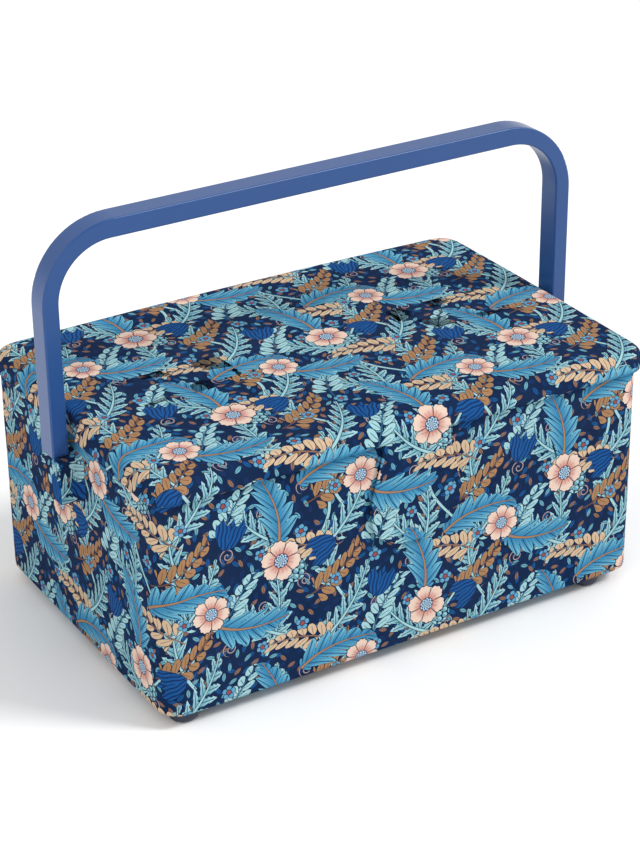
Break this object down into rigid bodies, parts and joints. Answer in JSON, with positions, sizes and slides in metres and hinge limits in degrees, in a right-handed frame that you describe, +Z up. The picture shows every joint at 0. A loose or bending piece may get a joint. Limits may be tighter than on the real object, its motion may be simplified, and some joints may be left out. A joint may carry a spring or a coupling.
{
  "type": "sewing box",
  "caption": "Rectangular cloth-covered sewing box with padded hinged lid, closure tab, fold-back bow handle, lift-out tray and small feet.",
  "frame": {"origin": "on the plane that the feet stand on, under the middle of the whole object's length and depth", "axes": "+X right along the front, +Y to the back where the lid is hinged, +Z up"},
  "size_m": [0.3272, 0.201, 0.2495],
  "materials": {
    "printed_cloth": "woven printed cotton",
    "lining_cloth": "plain woven cloth",
    "base_cloth": "plain non-woven cloth",
    "board": "grey fibreboard",
    "padding": "soft wadding",
    "cushion_cloth": "plain woven cloth",
    "elastic": "woven elastic",
    "stiffener": "thin sheet",
    "handle_plastic": "satin moulded",
    "bracket_plastic": "moulded",
    "foot_plastic": "satin moulded",
    "tray_plastic": "moulded",
    "steel": "plated",
    "magnet": "nickel plated"
  },
  "bodies": {
    "box": {"foot_front_left": "foot_plastic", "foot_front_right": "foot_plastic", "foot_back_left": "foot_plastic", "foot_back_right": "foot_plastic", "foot_screws": "steel", "base_board": "board", "base_cover": "base_cloth", "base_lining": "lining_cloth", "wall_board": "board", "wall_cover": "printed_cloth", "wall_lining": "lining_cloth", "wall_magnet": "magnet", "hinge_lower": "printed_cloth", "tray_ledge_left": "board", "tray_ledge_right": "board", "bracket_left": "bracket_plastic", "bracket_right": "bracket_plastic", "bracket_cover_left": "printed_cloth", "bracket_cover_right": "printed_cloth", "backing_plate_left": "steel", "backing_plate_right": "steel", "pivot_pin_left": "steel", "pivot_pin_right": "steel", "bracket_screws": "steel"},
    "lid": {"lid_board": "board", "lid_padding": "padding", "lid_cover": "printed_cloth", "lid_lining": "lining_cloth", "hinge_upper": "printed_cloth", "pin_cushion": "cushion_cloth", "lid_pocket": "lining_cloth", "pocket_elastic": "elastic"},
    "tab": {"tab_cover": "printed_cloth", "tab_stiffener": "stiffener", "tab_magnet": "magnet"},
    "handle": {"handle_bow": "handle_plastic"},
    "tray": {"tray_shell": "tray_plastic"}
  },
  "joints": [
    {"name": "lid_open", "type": "hinge", "parent": "box", "child": "lid", "pos_m": [0, 0.1005, 0.1334], "axis": [-1, 0, 0], "range_deg": [0, 93]},
    {"name": "handle_fold", "type": "hinge", "parent": "box", "child": "handle", "pos_m": [0, 0.0012, 0.106], "axis": [-1, 0, 0], "range_deg": [0, 126]},
    {"name": "tray_lift", "type": "slide", "parent": "box", "child": "tray", "axis": [0, 0, 1], "range_m": [0, 0.035]},
    {"name": "tab_lift", "type": "hinge", "parent": "lid", "child": "tab", "pos_m": [0, -0.1005, 0.1334], "axis": [-1, 0, 0], "range_deg": [0, 110]}
  ],
  "couplings": [
    {"joint": "handle_fold", "follows": "lid_open", "ratio": 1.35},
    {"joint": "tray_lift", "follows": "lid_open", "m_per_rad": 0.02}
  ]
}
